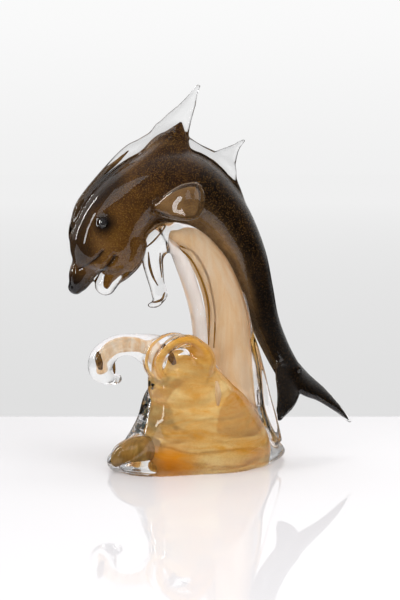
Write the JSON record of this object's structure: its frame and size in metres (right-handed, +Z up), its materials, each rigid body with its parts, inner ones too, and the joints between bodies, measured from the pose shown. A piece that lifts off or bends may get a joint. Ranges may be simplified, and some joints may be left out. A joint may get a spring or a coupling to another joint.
{
  "type": "glass dolphin sculpture",
  "caption": "Hot-worked cased glass dolphin arching over a breaking wave with curled crests, standing on the wave's flat ground foot.",
  "frame": {"origin": "middle of the wave's flat ground underside", "axes": "+Z up, -X towards the dolphin's head, +Y from the front view to the back"},
  "size_m": [0.3019, 0.1587, 0.4002],
  "materials": {
    "bronze_brown_glass": "fire-polished, dark bronze-brown with fine gold specks, cased in clear",
    "amber_glass": "fire-polished, clear over a veil of amber and gold leaf",
    "clear_crystal": "fire-polished, colourless",
    "black_glass": "fire-polished, opaque"
  },
  "bodies": {
    "root": {"wave": "amber_glass", "dolphin": "bronze_brown_glass", "eye_near": "black_glass", "eye_far": "black_glass"}
  },
  "joints": []
}
